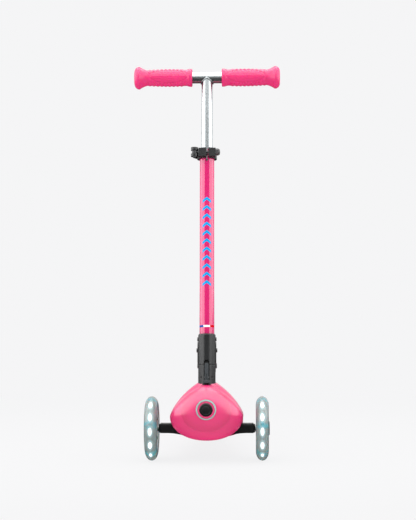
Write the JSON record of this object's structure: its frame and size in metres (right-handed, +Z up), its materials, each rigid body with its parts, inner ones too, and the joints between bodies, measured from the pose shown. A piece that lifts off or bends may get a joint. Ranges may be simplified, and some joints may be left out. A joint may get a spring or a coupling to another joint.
{
  "type": "kick scooter",
  "caption": "Child's lean-to-steer kick scooter with a pink nose and deck, a folding telescopic T-bar, light-up front wheels and a rear foot brake.",
  "frame": {"origin": "on the floor under the middle of the scooter's bounding box, with the T-bar upright and the steering straight", "axes": "+Z up, +X to the rider's left as the scooter is seen from its front with the handlebar across, +Y from the front wheels back to the rear wheel"},
  "size_m": [0.282, 0.5594, 0.7521],
  "materials": {
    "pink_shell": "satin moulded polypropylene",
    "pink_tread": "matt moulded anti-slip rubber",
    "pink_paint": "semi-gloss powder coat",
    "pink_grip": "satin soft rubber",
    "black_plastic": "fine textured glass-filled nylon",
    "black_beam": "satin glass-filled nylon",
    "grey_ring": "satin",
    "polished_alloy": "polished and anodised",
    "zinc_steel": "bright zinc plate",
    "black_steel": "black oxide",
    "spring_steel": "oiled spring steel",
    "bearing_steel": "ground steel",
    "natural_nylon": "plain nylon",
    "dark_nylon": "plain nylon",
    "magnet": "nickel plate",
    "clear_tyre": "translucent polyurethane",
    "rear_tyre": "translucent polyurethane",
    "white_core": "translucent white polypropylene",
    "black_core": "satin",
    "light": "white diffuser, lit",
    "circuit_board": "potted coil ring"
  },
  "bodies": {
    "deck": {"deck_shell": "pink_shell", "tread_pad": "pink_tread", "button_ring": "grey_ring", "hinge_base": "black_plastic", "base_bolts": "zinc_steel", "hinge_pin": "zinc_steel", "kingpin": "zinc_steel", "kingpin_nut": "zinc_steel", "steer_spring_left": "spring_steel", "steer_spring_right": "spring_steel", "rear_axle": "zinc_steel", "rear_axle_nut": "zinc_steel", "rear_spacers": "zinc_steel", "brake_pin": "zinc_steel", "brake_spring": "spring_steel", "latch_pin": "zinc_steel", "latch_spring": "spring_steel", "lock_spring": "spring_steel"},
    "beam": {"steer_beam": "black_beam", "kingpin_bushes": "natural_nylon", "front_axles": "zinc_steel", "axle_magnets": "magnet"},
    "left_wheel": {"tyre_left": "clear_tyre", "core_left": "white_core", "lights_left": "light", "generator_left": "circuit_board", "bearings_left": "bearing_steel", "hub_cap_left": "black_plastic"},
    "right_wheel": {"tyre_right": "clear_tyre", "core_right": "white_core", "lights_right": "light", "generator_right": "circuit_board", "bearings_right": "bearing_steel", "hub_cap_right": "black_plastic"},
    "rear_wheel": {"rear_tyre": "rear_tyre", "rear_core": "black_core", "rear_bearings": "bearing_steel"},
    "column": {"tube_socket": "black_plastic", "lower_tube": "pink_paint", "socket_bolts": "zinc_steel", "guide_sleeve": "dark_nylon", "clamp_collar": "black_plastic", "clamp_bolt": "black_steel", "clamp_nut": "black_steel", "cam_pin": "zinc_steel"},
    "lever": {"clamp_lever": "black_plastic"},
    "handlebar": {"stem_tube": "polished_alloy", "crossbar": "polished_alloy", "grip_left": "pink_grip", "grip_right": "pink_grip", "height_catch": "spring_steel", "stem_plug": "black_plastic"},
    "brake": {"mudguard": "black_plastic", "brake_pad": "spring_steel"},
    "latch": {"fold_latch": "black_plastic"},
    "lock": {"lock_button": "black_plastic", "lock_plunger": "natural_nylon"}
  },
  "joints": [
    {"name": "fold_hinge", "type": "hinge", "parent": "deck", "child": "column", "pos_m": [0, -0.1964, 0.17641], "axis": [-1, 0, 0], "range_deg": [0, 82]},
    {"name": "height_slide", "type": "slide", "parent": "column", "child": "handlebar", "axis": [0, 0.1392, 0.9903], "range_m": [-0.1, 0], "deforming": ["height_catch"]},
    {"name": "clamp_lever_pivot", "type": "hinge", "parent": "column", "child": "lever", "pos_m": [-0.0235, -0.17406, 0.58326], "axis": [0, 0.1392, 0.9903], "range_deg": [0, 150]},
    {"name": "fold_latch_pivot", "type": "hinge", "parent": "deck", "child": "latch", "pos_m": [0, -0.23024, 0.15693], "axis": [1, 0, 0], "range_deg": [0, 12], "stiffness_Nm_per_rad": 0.2, "springref_deg": -2.86, "deforming": ["latch_spring"]},
    {"name": "steer_lean", "type": "hinge", "parent": "deck", "child": "beam", "pos_m": [0, -0.21925, 0.066], "axis": [0, -0.7071, 0.7071], "range_deg": [-14, 14], "stiffness_Nm_per_rad": 30, "deforming": ["steer_spring_left", "steer_spring_right"]},
    {"name": "front_left_spin", "type": "hinge", "parent": "beam", "child": "left_wheel", "pos_m": [-0.104, -0.21925, 0.0605], "axis": [1, 0, 0], "continuous": true},
    {"name": "front_right_spin", "type": "hinge", "parent": "beam", "child": "right_wheel", "pos_m": [0.104, -0.21925, 0.0605], "axis": [1, 0, 0], "continuous": true},
    {"name": "rear_spin", "type": "hinge", "parent": "deck", "child": "rear_wheel", "pos_m": [0, 0.22875, 0.04], "axis": [1, 0, 0], "continuous": true},
    {"name": "brake_pedal", "type": "hinge", "parent": "deck", "child": "brake", "pos_m": [0, 0.18075, 0.054], "axis": [-1, 0, 0], "range_deg": [0, 5], "stiffness_Nm_per_rad": 4, "springref_deg": -1.15, "deforming": ["brake_spring"]},
    {"name": "lock_press", "type": "slide", "parent": "deck", "child": "lock", "axis": [0, 1, 0], "range_m": [0, 0.004], "stiffness_N_per_m": 400, "springref_m": -0.001, "deforming": ["lock_spring"]}
  ]
}
